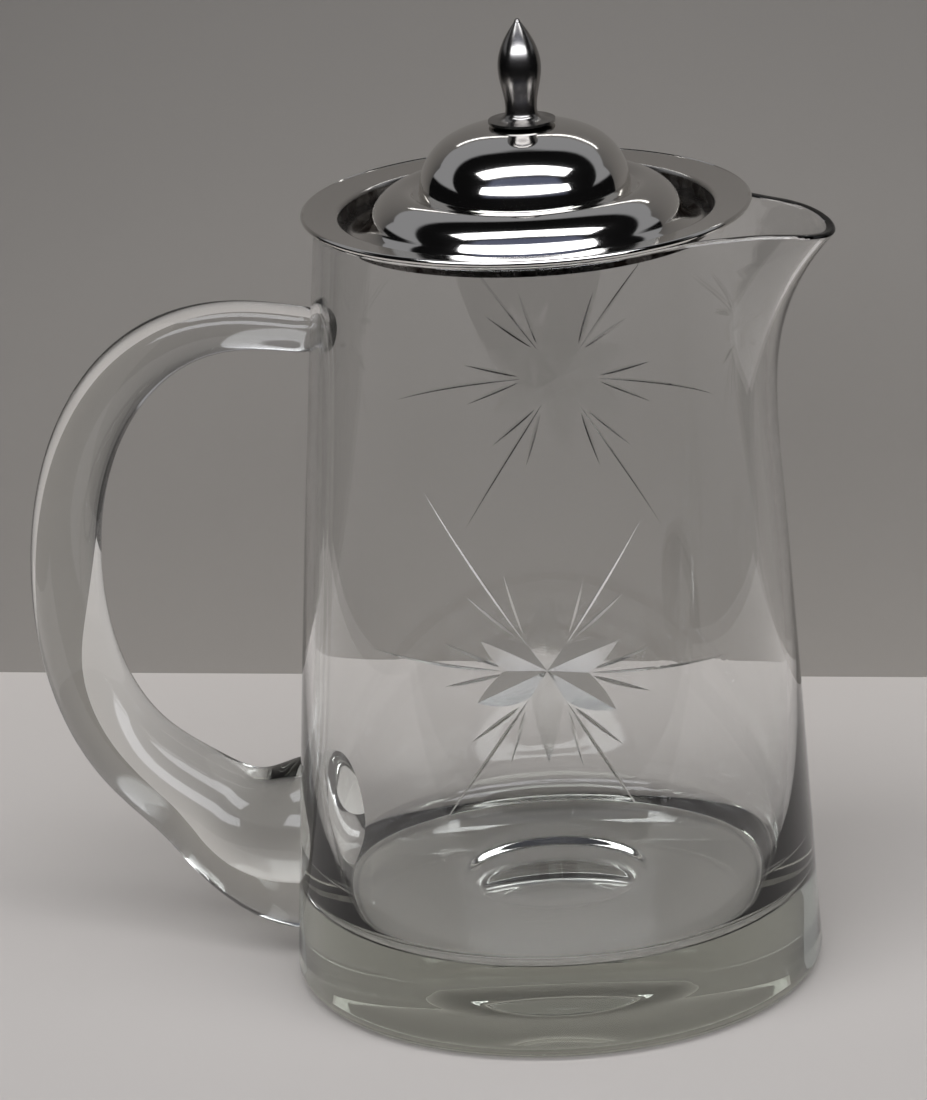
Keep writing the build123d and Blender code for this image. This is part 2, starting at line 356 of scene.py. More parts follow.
class Shade:
    """A shader socket or number whose arithmetic adds Math nodes to a material's tree."""

    def __init__(self, tree, value):
        self.tree = tree
        self.value = value

    def math(self, operation, *others, flipped=False):
        """A Math node of an operation on this value and the others."""
        values = [self.value] + [o.value if isinstance(o, Shade) else o for o in others]
        if flipped:
            values.reverse()
        return self.tree.node("ShaderNodeMath", {"operation": operation}, *values)

    def __add__(self, other):
        return self.math("ADD", other)

    def __sub__(self, other):
        return self.math("SUBTRACT", other)

    def __rsub__(self, other):
        return self.math("SUBTRACT", other, flipped=True)

    def __mul__(self, other):
        return self.math("MULTIPLY", other)

    def __truediv__(self, other):
        return self.math("DIVIDE", other)

    __radd__ = __add__
    __rmul__ = __mul__


class Finish:
    """The node tree of a material or a world, with one method that adds any node."""

    def __init__(self, name, kind="Material"):
        self.owner = (bpy.data.materials if kind == "Material" else bpy.data.worlds).new(name)
        self.owner.use_nodes = True
        self.nodes = self.owner.node_tree.nodes
        self.links = self.owner.node_tree.links
        self.nodes.clear()
        self.output = self.nodes.new("ShaderNodeOutput" + kind)

    def feed(self, socket, value):
        """Sets a socket to a number or colour, or links it to another node's socket."""
        value = value.value if isinstance(value, Shade) else value
        if isinstance(value, bpy.types.NodeSocket):
            self.links.new(value, socket)
        elif value is not None:
            socket.default_value = value

    def node(self, kind, settings=None, *values, out=0, **named):
        """A node of a kind: its settings first, then its sockets in order and by name."""
        node = self.nodes.new(kind)
        for key, value in (settings or {}).items():
            setattr(node, key, value)
        for socket, value in zip(node.inputs, values):
            self.feed(socket, value)
        for key, value in named.items():
            self.feed(node.inputs[key.replace("_", " ")], value)
        return Shade(self, node.outputs[out])

    def mix(self, share, *colours):
        """A colour between two colours, each given by its parts or as another node's."""
        low, high = (c if isinstance(c, Shade) else rgba(c) for c in colours)
        return self.node("ShaderNodeMix", {"data_type": "RGBA"}, share, None, None, None, None, None,
                         low, high, out=2)

    def place(self):
        """The object coordinates."""
        return self.node("ShaderNodeTexCoord", out=3)

    def parts(self, vector):
        """The x, y and z of a vector."""
        x = self.node("ShaderNodeSeparateXYZ", None, vector)
        return [Shade(self, socket) for socket in x.value.node.outputs]

    def radius(self, place):
        """The distance of a place from the Z axis."""
        x, y, _z = self.parts(place)
        return (x * x + y * y).math("SQRT")

    def turned(self, vector):
        """The parts of a vector across, away from and above the camera's side."""
        x, y, z = self.parts(vector)
        c, s = float(np.cos(VIEW_TURN)), float(np.sin(VIEW_TURN))
        return x * c + y * s, y * c - x * s, z

    def noise(self, place, scale, detail):
        """A cloudy noise at a place."""
        return self.node("ShaderNodeTexNoise", None, Vector=place, Scale=scale, Detail=detail)

    def volume(self, shader):
        """Makes a shader the tree's volume."""
        self.links.new(shader.value, self.output.inputs["Volume"])

    def surface(self, shader):
        """Makes a shader the tree's surface and returns the material or world."""
        self.links.new(shader.value, self.output.inputs["Surface"])
        return self.owner

    def principled(self, **sockets):
        """Makes a Principled shader with these sockets the surface and returns the material."""
        return self.surface(self.node("ShaderNodeBsdfPrincipled", None, **sockets))


def rgba(value):
    """A colour with full alpha."""
    return (*value, 1.0)


def glass_finish(tint, cut_tint):
    """Clear glass with a faint waviness left by its making, grey-green where it is thick.

    Where the mesh's own "cut" attribute is one, fine grinding marks blur what shows through.
    """
    finish = Finish("clear_glass")
    finish.volume(finish.node("ShaderNodeVolumeAbsorption", None, rgba((0.60, 0.64, 0.52)), 11.0))
    place = finish.place()
    cut = finish.node("ShaderNodeAttribute", {"attribute_name": "cut"}, out=2)
    waves = finish.noise(place, 38.0, 1.0)
    grain = finish.noise(place, 2600.0, 2.0)
    wavy = finish.node("ShaderNodeBump", None, Strength=0.05, Distance=0.0008, Height=waves)
    ground = finish.node("ShaderNodeBump", None, Strength=0.25, Distance=0.00005, Height=grain * cut,
                         Normal=wavy)
    return finish.principled(Base_Color=finish.mix(cut, tint, cut_tint), IOR=1.5, Transmission_Weight=1.0,
                             Roughness=(grain * 0.16 + 0.08) * cut, Normal=ground)


def silver_finish(tint, dark):
    """Silver plate, polished, with faint spinning rings and hairlines.

    Where the mesh's own marks of tarnish and shade rise to one, it is dull and dark in uneven streaks: real
    tarnish in the lid's well and underside, painted shade over the whole finial.
    """
    finish = Finish("silver_plate")
    tarnish = finish.node("ShaderNodeAttribute", {"attribute_name": "tarnish"}, out=2)
    place = finish.place()
    radius = finish.radius(place)
    rings = finish.node("ShaderNodeTexNoise", {"noise_dimensions": "1D"}, W=radius * 5200.0, Detail=2.0,
                        Scale=1.0)
    cloud = finish.noise(place, 90.0, 5.0)
    streaks = finish.noise(place, 260.0, 4.0)
    dull = tarnish * (streaks * 0.9 + 0.45).math("MINIMUM", 1.0)
    rough = cloud * 0.07 + rings * 0.03 + dull * 0.22 + 0.03
    bump = finish.node("ShaderNodeBump", None, Strength=0.06, Distance=0.00003, Height=rings)
    return finish.principled(Base_Color=finish.mix(dull, tint, dark), Metallic=1.0, Roughness=rough,
                             Normal=bump)


def fixing_finish(tint):
    """Plain turned steel for the hidden washer and nut."""
    finish = Finish("fixing_steel")
    cloud = finish.noise(finish.place(), 900.0, 4.0)
    return finish.principled(Base_Color=rgba(tint), Metallic=1.0, Roughness=cloud * 0.25 + 0.25)


# The jug


def side_radius(jug, height):
    """Radius of the jug away from the lip: a straight taper plus a parabola's bow."""
    rise = height / jug.rim_height
    taper = (jug.mouth_radius - jug.foot_radius) * rise
    return jug.foot_radius + taper + jug.side_bow * 4 * rise * (1 - rise)


def pull(jug, height):
    """How far the wall stands out towards the lip: a steady draw plus a power of the flare's height."""
    draw = np.maximum(0, (height - jug.draw_start) / (jug.rim_height - jug.draw_start))
    flare = np.maximum(0, (height - jug.rim_height + jug.lip_height) / jug.lip_height)
    return jug.draw_reach * draw + jug.lip_reach * flare**jug.lip_sharpness


def thickness(jug, height):
    """Thickness of the side: wall + heel_wall exp((floor - height) / wall_fade)."""
    return jug.wall + jug.heel_wall * np.exp((jug.base_thickness - height) / jug.wall_fade)


def spread(jug, height):
    """Half angle of the pulled part, which narrows with the 1.5th power of the height."""
    rise = np.clip(height / jug.rim_height, 0, 1)
    return np.radians(jug.draw_spread + (jug.lip_spread - jug.draw_spread) * rise**1.5)


def centred(angle):
    """An angle brought between minus pi and pi."""
    return (angle + np.pi) % (2 * np.pi) - np.pi


def outline(jug, angle, height, inset=0.0):
    """Points of the wall at angles and heights, moved inwards along the outline's normal.

    The radius is the side's plus the pull times exp(-(angle / spread) squared / 2).
    """
    turn = centred(angle)
    wide = spread(jug, height)
    bell = pull(jug, height) * np.exp(-((turn / wide) ** 2) / 2)
    radius = side_radius(jug, height) + bell
    slope = -bell * turn / wide**2
    share = inset / np.hypot(radius, slope)
    x = radius * np.cos(turn) - share * (radius * np.cos(turn) + slope * np.sin(turn))
    y = radius * np.sin(turn) - share * (radius * np.sin(turn) - slope * np.cos(turn))
    return x, y


def rim_level(jug, angle):
    """Height of the rim round the jug: level, and lower along an arc towards the lip's tip."""
    end = side_radius(jug, jug.rim_height) + pull(jug, jug.rim_height)
    ball = (jug.droop_length**2 + jug.lip_droop**2) / (2 * jug.lip_droop)
    level = np.full_like(angle, jug.rim_height)
    for _ in range(12):
        x, _y = outline(jug, angle, level)
        past = np.clip(x - (end - jug.droop_length), 0, jug.droop_length)
        level = jug.rim_height - (ball - np.sqrt(ball**2 - past**2))
    return level


def wall_point(jug, angle, nominal, inset=0.0):
    """A wall point at an angle and a nominal height, which the droop of the rim lowers near the lip.

    The height is the nominal one less the droop times the square of its share of the lip's height.
    """
    drop = jug.rim_height - rim_level(jug, angle)
    share = np.clip((nominal - jug.rim_height + jug.lip_height) / jug.lip_height, 0, 1)
    height = nominal - drop * share**2
    x, y = outline(jug, angle, height, inset)
    return np.stack(np.broadcast_arrays(x, y, height), -1)


def petal_half(cuts, s, reach, share):
    """Half width of a petal at s along its axis, from where it is widest falling to its tip."""
    middle = cuts.petal_middle
    past = np.where(s > middle, (s - middle) / (reach - middle), (middle - s) / (2 * middle))
    return cuts.petal_width * share * (1 - past**2)


def unit(degrees):
    """The direction (across, up) at an angle."""
    way = np.radians(degrees)
    return np.array([np.cos(way), np.sin(way)])


def by_axis(degrees, s, t, depth):
    """Points (across, up, depth) that lie s along and t to the left of an axis at an angle."""
    x, y = unit(degrees)
    return np.stack([s * x - t * y, s * y + t * x, depth], 1)


# The stars. A ray has an angle in degrees and a reach in mm, and a petal also a share of the width.
FRONT_RAYS = ((177.4, 32.2), (123.6, 35.0), (55.0, 28.6), (-4.0, 32.5), (-60.0, 30.4), (-125.6, 33.0))
FRONT_PETALS = ((154.0, 11.8, 1.0), (90.0, 12.6, 0.9), (20.0, 12.4, 1.0), (-33.0, 13.0, 1.0),
                (-91.5, 14.9, 0.66), (-156.0, 12.8, 1.0))
BACK_RAYS = ((0.2, 31.7), (56.1, 30.0), (126.0, 28.6), (179.3, 32.5), (-124.5, 32.0), (-55.0, 32.9))
BACK_PETALS = ((28.0, 13.0, 1.0), (91.0, 12.6, 1.0), (153.0, 13.0, 1.0), (-152.0, 13.0, 1.0),
               (-90.0, 14.0, 0.8), (-27.0, 13.0, 1.0))
RAY_GAP = 0.35 * MM  # between the petals and a ray
RAY_SHARE = 0.8  # width of a middle ray as a share of its side rays'
SIDE_TURN = 4.5  # how far a side ray's root lies from the middle ray, in degrees
SIDE_SPREAD = 2.7  # how many times as far its tip lies
SIDE_ENDS = (7.4 * MM, 17.5 * MM)


def star_lines(cuts, rays, petals, slope):
    """The lines of one cut star, as arrays of (across, up, depth) points.

    A petal is a groove with flat sides: its half width is w(s) = W (1 - ((s - m) / (L - m)) squared)
    at s along its axis and its depth there is slope * w. Where two petals meet, on the ray between
    them, both sides have fallen to slope * (w - t) at t across. A ray is a thin groove with the
    half width W * 4 q (1 - q), q being a skewed share of its length.
    """
    lines, notch = [], {}
    for angle, _reach in rays:
        left, right = sorted(petals, key=lambda p: abs(centred(np.radians(p[0] - angle))))[:2]
        half = abs(centred(np.radians(left[0] - right[0]))) / 2
        reach, share = (left[1] + right[1]) / 2 * MM, (left[2] + right[2]) / 2

        def above(rho):
            return petal_half(cuts, rho * np.cos(half), reach, share) - rho * np.sin(half)

        rho = np.linspace(0, 9 * MM, 400)
        notch[angle] = rho[np.argmax(above(rho) < 0)]
        rho = np.linspace(0, notch[angle], 8)
        lines.append(by_axis(angle, rho, 0, slope * np.maximum(above(rho), 0)))
    for angle, reach, share in petals:
        reach = reach * MM
        s = np.linspace(0, reach, 16)
        depth = slope * petal_half(cuts, s, reach, share)
        depth[-1] = 0
        lines.append(by_axis(angle, s, 0, depth))
        for side in (-1, 1):
            near = min(notch, key=lambda a: abs(centred(np.radians(a - angle) - side * 0.5)))
            corner = notch[near] * unit(near - angle)
            s = np.linspace(corner[0], reach, 14)
            t = petal_half(cuts, s, reach, share)
            t = t + (abs(corner[1]) - t[0]) * (1 - (s - s[0]) / (s[-1] - s[0])) ** 3
            t[-1] = 0
            lines.append(by_axis(angle, s, t * side, 0 * s))
    for angle, reach in rays:
        for swing, near, far, broad in ((0, notch[angle] + RAY_GAP, reach * MM, RAY_SHARE),
                                        (SIDE_TURN, *SIDE_ENDS, 1.0), (-SIDE_TURN, *SIDE_ENDS, 1.0)):
            a, b = near * unit(angle + swing), far * unit(angle + swing * SIDE_SPREAD)
            way = (b - a) / np.linalg.norm(b - a)
            across = np.array([-way[1], way[0]])
            share = np.linspace(0, 1, 18)
            q = share**0.75
            half = cuts.ray_width * broad * 4 * q * (1 - q)
            line = a + share[:, None] * (b - a)
            lines += [np.column_stack([line + side * half[:, None] * across,
                                       cuts.ray_slope * half * (side == 0)]) for side in (-1, 0, 1)]
    return lines


def inside_petals(cuts, points, petals):
    """Whether points (across, up) from a star's centre lie in or next to one of its petals."""
    inside = np.zeros(len(points), bool)
    for angle, reach, share in petals:
        x, y = unit(angle)
        s, t = points @ np.array([x, y]), np.abs(points @ np.array([-y, x]))
        inside |= (s > 0) & (petal_half(cuts, s, reach * MM, share) - t > -0.3 * MM)
    return inside


def inside_loop(points, loop):
    """Whether points lie inside a closed loop, by the turns of its corners seen from each point."""
    a = loop[None, :, :] - points[:, None, :]
    b = np.roll(a, -1, 1)
    turn = np.arctan2(a[..., 0] * b[..., 1] - a[..., 1] * b[..., 0], (a * b).sum(-1))
    return np.abs(turn.sum(1)) > np.pi


def nearest(points, others):
    """Distance from each point to the nearest of the others."""
    return np.concatenate([np.sqrt(((p[:, None] - others[None]) ** 2).sum(-1).min(1))
                           for p in np.array_split(points, max(1, len(points) // 500))])


# Stations of the rod: share of its reach, height over the nearer joint, height and width of its section
TOP_STATIONS = np.array([(0.314, 0.7, 8.4, 8.4), (0.771, -8.9, 10.8, 10.8)]) * [1, MM, MM, MM]
FOOT_STATIONS = np.array([(0.704, 13.7, 15.4, 15.4), (0.46, 5.9, 17.8, 17.8), (0.22, 0.3, 25.6, 19.5)]) * [
    1, MM, MM, MM]
ROD_END = 7.4 * MM  # thickness of the rod's line at its top end
ROD_SINK = 1.5 * MM  # how deep the line ends inside the wall
ROD_STARTS, ROD_STOPS = 3.4 * MM, 17.5 * MM  # where the rod gives way to its joints, from the wall


def handle_rings(jug, handle):
    """Rings of the loop handle from its top joint to its foot, each with the same columns.

    The rod's line is a cubic spline from the wall out and back. A ring is an ellipse across the
    line: centre + (w / 2) cos a * sideways + (h / 2) sin a * up. The first and last rings lie on
    the wall, where each ring's point (y, z) has x = -sqrt(side radius squared - y squared). The rod
    closes in on the first along a quarter circle. It runs out to the last along cubics that start
    with the rod's own slope and end level.
    """
    top = jug.rim_height - handle.top_joint_drop
    foot = handle.foot_joint_height
    reach, grip = handle.reach_out, handle.grip
    out, height, tall, broad = np.concatenate([
        [(-ROD_SINK, top, ROD_END, ROD_END)], TOP_STATIONS * [reach, 1, 1, 1] + [0, top, 0, 0],
        [(reach, (top + foot) / 2, grip, grip)], FOOT_STATIONS * [reach, 1, 1, 1] + [0, foot, 0, 0],
        [(-ROD_SINK, foot, handle.pad_height, handle.pad_width)]]).T
    line, where, at = cubic_line(np.stack([-side_radius(jug, height) - out, height], 1), 1200,
                                 start=np.array([-0.5, 0]), end=np.array([0.5, 0]))
    run = np.gradient(line, axis=0)
    step = np.linalg.norm(run, axis=1)
    run /= step[:, None]
    up = np.stack([run[:, 1], -run[:, 0]], 1)
    ease = np.exp(-np.linspace(-2.4, 2.4, 161) ** 2)
    tall, broad = (np.convolve(np.pad(easy_line(at, size, where), 80, "edge"), ease / ease.sum(), "valid")
                   for size in (tall, broad))
    out = -line[:, 0] - side_radius(jug, line[:, 1])
    first = np.argmax(out > ROD_STARTS)
    last = len(out) - 1 - np.argmax(out[::-1] > ROD_STOPS)
    walk = np.concatenate([[0], np.cumsum(step[first:last])])
    index = np.clip(first + np.searchsorted(walk, np.linspace(0, walk[-1], 130)), first, last)
    turn = 2 * np.pi * np.arange(64) / 64
    y = broad[index, None] / 2 * np.cos(turn)
    lift = tall[index, None] / 2 * np.sin(turn)
    rod = np.stack([line[index, :1] + lift * up[index, :1], y, line[index, 1:] + lift * up[index, 1:]], -1)

    def on_wall(centre, height, width, way):
        y = width / 2 * np.cos(turn)
        z = centre + way * height / 2 * np.sin(turn)
        return np.stack([-np.sqrt(side_radius(jug, z) ** 2 - y**2), y, z], -1)

    def run_in(joint, ring, share, blend):
        along = joint + share * (ring - joint)
        across = ring + (joint - ring) * blend
        return np.concatenate([along[..., :1], across[..., 1:]], -1)

    def run_out(before, ring, joint, way):
        step = ring - before
        left = joint - ring
        slope = step / step[:, :1] * left[:, :1]
        across = ring + left * way**2 * (3 - 2 * way) + slope * way * (1 - way) ** 2
        return np.concatenate([(ring + left * way)[..., :1], across[..., 1:]], -1)

    creep = 2 * handle.meniscus
    top_joint = on_wall(top + 0.05 * MM, handle.top_contact, handle.top_contact, 1)
    foot_joint = on_wall(foot - 0.9 * MM, handle.pad_height - 3.2 * MM + creep,
                         handle.pad_width - 0.8 * MM + creep, -1)
    swing = np.linspace(0, np.pi / 2, 12)[:-1, None, None]
    way = np.linspace(0, 1, 30)[1:, None, None]
    return np.concatenate([run_in(top_joint, rod[0], 1 - np.cos(swing), 1 - np.sin(swing)), rod,
                           run_out(rod[-4], rod[-1], foot_joint, way)])


def jug_rows(jug, angle):
    """The body's rows of points, and which of them is the first of the side and the side's levels.

    The rows run from the middle of the foot up the outside, over the rim and down the inside to the
    middle of the floor. The rounded edges are quarter circles of (radius (1 - cos), radius (1 - sin)),
    and the floor's dish has the depth (1 - tanh) / 2 of the distance past its radius.
    """
    def rows(level, inset=np.zeros(1)):
        return wall_point(jug, angle, level[:, None], inset[:, None])

    ball = (jug.hollow_radius**2 + jug.hollow_depth**2) / (2 * jug.hollow_depth)
    radius = np.concatenate([np.linspace(0, jug.hollow_radius, 10)[1:],
                             np.linspace(jug.hollow_radius, side_radius(jug, 0.0) - jug.heel_round, 8)[1:]])
    hollow = np.sqrt(ball**2 - np.minimum(radius, jug.hollow_radius) ** 2) - (ball - jug.hollow_depth)
    under = np.stack([radius[:, None] * np.cos(angle), radius[:, None] * np.sin(angle),
                      np.repeat(np.maximum(hollow, 0)[:, None], len(angle), 1)], -1)
    tilt = np.linspace(0, np.pi / 2, 9)[1:]
    heel = rows(jug.heel_round * (1 - np.cos(tilt)), jug.heel_round * (1 - np.sin(tilt)))
    edge, top = jug.rim_round, jug.rim_height - jug.rim_round
    lip = jug.rim_height - jug.lip_height
    levels = np.concatenate([np.linspace(jug.heel_round, lip, 52)[1:], np.linspace(lip, top, 44)[1:]])
    curve = np.linspace(0, np.pi / 2, 7)
    back = curve[::-1][:-1]
    across = np.concatenate([edge * (1 - np.cos(curve[1:])), [jug.wall / 2],
                             jug.wall - edge * (1 - np.cos(back))])
    rim = rows(np.full(len(across), top), across)
    rim[..., 2] += edge * np.sin(np.concatenate([curve[1:], curve[-1:], back]))[:, None]
    bend = jug.inner_heel_round
    down = np.concatenate([[top], levels[::-1][1:]])
    down = down[down > jug.base_thickness + bend + 0.4 * MM]
    tilt = np.linspace(0, np.pi / 2, 12)
    low = jug.base_thickness + bend * (1 - np.sin(tilt))
    corner = rows(low, thickness(jug, low) + bend * (1 - np.cos(tilt)))
    share = np.concatenate([np.linspace(1, 0.6, 5)[1:], np.linspace(0.6, 0.3, 22)[1:],
                            np.linspace(0.3, 0, 7)[1:-1]])
    past = share * np.hypot(corner[-1][:, 0], corner[-1][:, 1]).mean() - jug.dish_radius
    floor = corner[-1] * np.stack([share, share, 0 * share + 1], 1)[:, None]
    floor[..., 2] -= (jug.dish_depth * (1 - np.tanh(past / jug.dish_edge)) / 2)[:, None]
    side = len(under) + len(heel) - 1
    return (np.concatenate([under, heel, rows(levels), rim, rows(down, thickness(jug, down)), corner, floor]),
            side, np.concatenate([[jug.heel_round], levels]))


def build_jug(jug, cuts, handle):
    """The glass body with its cut stars and handle, in one closed surface.

    The body is a grid whose columns are angles, crowded towards the lip. Round each star and each
    joint of the handle the outside grid is replaced by triangles that follow the cuts and the
    joint's ring. They are worked out on the wall laid flat, at (angle * scale, level).
    """
    even = 2 * np.pi * np.arange(jug.columns) / jug.columns
    angle = even - 0.62 * np.sin(even)
    rows, side_start, nominal = jug_rows(jug, angle)
    total, count = rows.shape[:2]
    wall_rows = side_start + np.arange(len(nominal))
    keep = np.ones((total - 1, count), bool)
    next_index = total * count + 2
    extra_points, flat_faces, cut_faces = [], [], []
    scale = 41 * MM

    def patch(lines, angle_margin, level_margin, inner, hole=False):
        """Replaces a block of the wall by triangles through lines of places, depths and indices.

        The block reaches past the lines by the margins. Its own points go where they lie close to
        a line or inside, and where the lines bound a hole the triangles inside go too.
        """
        nonlocal next_index
        drawn, depths, known = (np.concatenate(part) for part in zip(*lines))
        low, high = drawn.min(0), drawn.max(0)
        c0 = np.searchsorted(angle, low[0] / scale - angle_margin) - 1
        c1 = np.searchsorted(angle, high[0] / scale + angle_margin)
        r0 = max(np.searchsorted(nominal, low[1] - level_margin) - 1, 0)
        r1 = min(np.searchsorted(nominal, high[1] + level_margin), len(nominal) - 1)
        row, column = np.indices((r1 - r0 + 1, c1 - c0 + 1)).reshape(2, -1) + [[r0], [c0]]
        keep[wall_rows[r0]:wall_rows[r1], c0:c1] = False
        plane = np.stack([angle[column] * scale, nominal[row]], 1)
        border = (row == r0) | (row == r1) | (column == c0) | (column == c1)
        clear = border | ((nearest(plane, drawn) > 0.5 * MM) & ~inner(plane))
        plane, ids = plane[clear], (wall_rows[row] * count + column)[clear]
        given = np.concatenate([plane, drawn])
        depths = np.concatenate([np.zeros(len(plane)), depths])
        known = np.concatenate([ids, known])
        links, base = [], len(plane)
        for xy, _depth, _own in lines:
            steps = np.arange(base, base + len(xy))
            links += np.stack([steps, np.roll(steps, -1)], 1)[:None if hole else -1].tolist()
            base += len(xy)
        out_xy, _e, faces, origin, _oe, _of = delaunay_2d_cdt(
            [Vector(p) for p in given / MM], links, [], 0, 1e-5, True)
        out_xy = np.array([tuple(v) for v in out_xy]) * MM
        triangles = np.array([f for f in faces if len(f) == 3])
        owner = np.repeat(np.arange(len(origin)), [len(sources) for sources in origin])
        source = np.concatenate(origin).astype(int)
        new_ids, out_depth = np.full(len(out_xy), -1), np.zeros(len(out_xy))
        np.maximum.at(new_ids, owner, known[source])
        np.maximum.at(out_depth, owner, depths[source])
        fresh = np.flatnonzero(new_ids < 0)
        new_ids[fresh] = next_index + np.arange(len(fresh))
        next_index += len(fresh)
        a, sunk = out_xy[fresh, 0] / scale, out_depth[fresh]
        extra_points.append(wall_point(jug, a, out_xy[fresh, 1])
                            - np.stack([np.cos(a) * sunk, np.sin(a) * sunk, 0 * a], -1))
        if hole:
            triangles = triangles[~inner(out_xy[triangles].mean(1))]
        cut = out_depth[triangles].max(1) > 1e-7
        flat_faces.append(new_ids[triangles[~cut]])
        cut_faces.append(new_ids[triangles[cut]])

    for azimuth, height, slope, rays, petals in (
            (cuts.front_angle, cuts.front_height, cuts.petal_slope, FRONT_RAYS, FRONT_PETALS),
            (cuts.back_angle, cuts.back_height, cuts.back_slope, BACK_RAYS, BACK_PETALS)):
        centre = np.radians(azimuth) % (2 * np.pi)
        lines = []
        for line in star_lines(cuts, rays, petals, slope):
            level = height + line[:, 1]
            a = centre + line[:, 0] / np.hypot(*outline(jug, np.full(len(line), centre), level))
            lines.append((np.stack([a * scale, level], 1), line[:, 2], np.full(len(line), -1)))
        middle = np.array([centre * scale, height])
        patch(lines, 0.03, 1.5 * MM, lambda plane: inside_petals(cuts, plane - middle, petals))

    rings = handle_rings(jug, handle)
    rod_faces = ring_faces(*rings.shape[:2], next_index)[:, ::-1]
    indices = next_index + np.arange(rings[..., 0].size).reshape(rings.shape[:2])
    next_index += indices.size
    extra_points.append(rings.reshape(-1, 3))
    for end in (0, -1):
        a = np.arctan2(rings[end, :, 1], rings[end, :, 0]) % (2 * np.pi)
        loop = np.stack([a * scale, rings[end, :, 2]], 1)
        patch([(loop, 0 * a, indices[end])], 0.05, 2.5 * MM, lambda plane: inside_loop(plane, loop), True)

    poles = [[0, 0, jug.hollow_depth], [0, 0, jug.base_thickness - jug.dish_depth]]
    points = np.vstack([rows.reshape(-1, 3), poles] + extra_points)
    flat_faces += pole_faces(count, (total - 1) * count, total * count, total * count + 1)
    quads = ring_faces(total, count).reshape(total - 1, count, 4)[keep]
    faces = [np.concatenate([quads, rod_faces]), np.concatenate(flat_faces), np.concatenate(cut_faces)]
    piece = make_mesh("glass_jug", points, faces)
    marks = np.repeat(np.float32([0, 0, 1]), [len(part) for part in faces])
    piece.data.attributes.new("cut", "FLOAT", "FACE").data.foreach_set("value", marks)
    return piece


# The lid and the finial


def lid_profile(jug, lid):
    """The closed profile of the spun lid, its crown's height and how tarnished each point is.

    The profile is the upper skin from the hole outwards, a bead at the edge, and the same line one
    sheet lower back to the hole. The underside is tarnished, and so is the well, whose tarnish
    grows from none to all over one fade in depth and in radius.
    """
    flange = jug.rim_height + lid.seat_gap + lid.sheet
    step = flange + lid.tier_height - lid.step_depth
    crown = step + lid.dome_height
    floor = flange - lid.well_depth
    skin = [np.linspace((lid.stud_hole, crown), (lid.crown_flat, crown), 6)]

    def arc(end, count, direction=None):
        start = skin[-1][-1]
        way = heading(skin[-1]) if direction is None else direction
        skin.append(arc_from(start, way, end, count))

    def straight(end, count):
        skin.append(np.linspace(skin[-1][-1], end, count + 1)[1:])

    arc((lid.shoulder_radius, crown - lid.shoulder_fall), 16)
    arc((lid.dome_radius, step + lid.dome_side), 28)
    straight((lid.dome_radius + lid.dome_taper, step), 5)
    straight((lid.step_radius, step), 4)
    arc((lid.tier_top, step + lid.step_depth), 12, direction=np.array([1, 1]) / np.sqrt(2))
    arc((lid.tier_side, floor + lid.foot_flare), 20)
    arc((lid.tier_foot, floor), 16)
    straight((lid.well_radius, floor), 4)
    straight((lid.well_radius, flange - lid.well_bend), 4)
    arc((lid.well_radius + lid.well_bend, flange), 10)
    straight((lid.flange_radius - lid.edge_bead, flange + lid.flange_dish), 12)
    skin = np.concatenate(skin)
    under = offset_line(skin, lid.sheet)
    turn = np.linspace(np.pi / 2, -np.pi / 2, 14)[1:-1]
    centre = (lid.flange_radius - lid.edge_bead, flange + lid.flange_dish - lid.sheet / 2)
    bead = np.stack([centre[0] + lid.edge_bead * np.cos(turn), centre[1] + lid.edge_bead * np.sin(turn)], 1)
    fade = 0.7 * MM
    deep = (flange - skin[:, 1]) / fade
    wide = (skin[:, 0] - lid.tier_foot + fade) / fade
    deep = np.clip(deep, 0, 1) * np.clip(wide, 0, 1)
    tarnish = np.concatenate([np.ones(len(under)), np.zeros(len(bead)), deep[::-1]])
    return np.concatenate([under, bead[::-1], skin[::-1]]), crown, tarnish


def mark_tarnish_and_shade(piece, amounts):
    """Writes how far each point of a piece is dulled and darkened, from zero to one: real tarnish on the lid,
    painted shade on the finial.
    """
    marks = piece.data.attributes.new("tarnish", "FLOAT", "POINT").data
    marks.foreach_set("value", amounts.astype(np.float32))


def finial_profile(crown):
    """Half of the finial's outline, from its underside on the axis up to its tip: its foot, a cubic
    line up the bud and a quarter circle at the tip, given in mm."""
    bud, _w, _a = cubic_line([(5.5, 0.9), (2.8, 1.7), (2.6, 3.1), (3.0, 5.8), (3.55, 9.4), (3.2, 12.0),
                              (2.0, 14.8), (0.5, 17.1)], 90)
    foot = np.array([(0, 0), (1.6, 0), (3.4, 0), (4.5, 0.22), (5.5, 0.45), (5.5, 0.9)])
    turn = np.linspace(0, np.pi / 2, 7)[1:]
    tip = bud[-1] + 0.5 * np.stack([np.cos(turn) - 1, np.sin(turn)], 1)
    tip[-1, 0] = 0
    return np.concatenate([foot, bud[1:], tip]) * MM + [0, crown]


class PITCHER_OT_glass(bpy.types.Operator):
    """Builds the glass jug with its stars and handle"""

    bl_idname = "pitcher.glass"
    bl_label = "Glass Jug"

    def execute(self, context):
        scene = context.scene
        finishes = scene.pitcher_finishes
        piece = build_jug(scene.pitcher_jug, scene.pitcher_cuts, scene.pitcher_handle)
        piece.data.materials.append(glass_finish(finishes.glass, finishes.cut))
        crease(piece, 14)
        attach(piece, "jug")
        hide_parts("glass_body", "handle")
        return {"FINISHED"}


